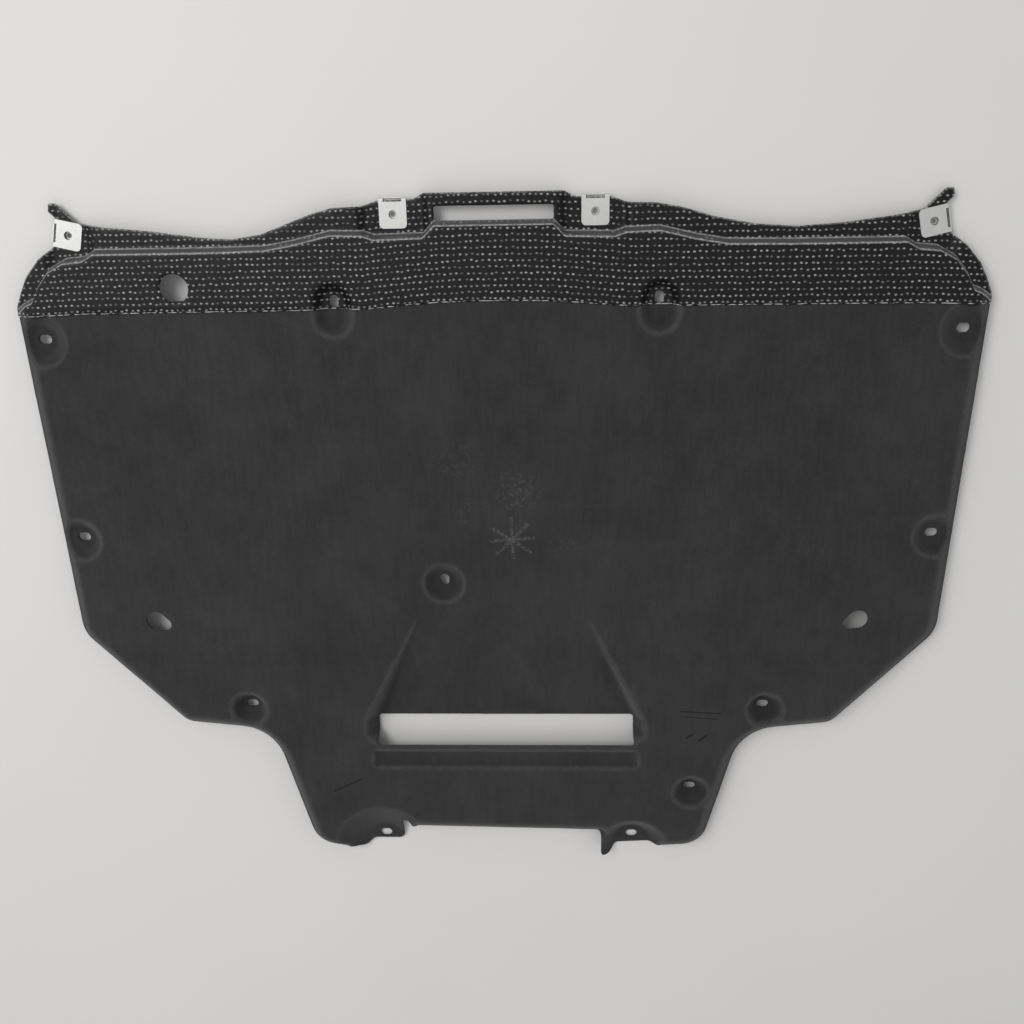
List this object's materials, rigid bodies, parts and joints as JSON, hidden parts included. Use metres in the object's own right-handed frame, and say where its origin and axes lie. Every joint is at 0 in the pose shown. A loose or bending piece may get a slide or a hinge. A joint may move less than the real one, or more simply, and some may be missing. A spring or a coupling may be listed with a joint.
{
  "type": "underbody shield",
  "caption": "Pressed felt underbody shield with a ramp duct and vent, screw pockets, and a film faced front lip that carries spring clip nuts.",
  "frame": {"origin": "middle of the bounding box at its lowest points, with the road face up", "axes": "+X across the car towards its right side as the picture shows it, +Y to the front lip, +Z out of the road face"},
  "size_m": [1.01, 0.788, 0.027],
  "materials": {
    "felt": "needled felt, matt, with short loose fibres",
    "film": "pressed film with rows of small dots",
    "zinc": "zinc plated spring steel, satin"
  },
  "bodies": {
    "root": {"felt_panel": "felt", "front_lip": "film", "clip_nut_outer_left": "zinc", "clip_nut_inner_left": "zinc", "clip_nut_inner_right": "zinc", "clip_nut_outer_right": "zinc"}
  },
  "joints": []
}
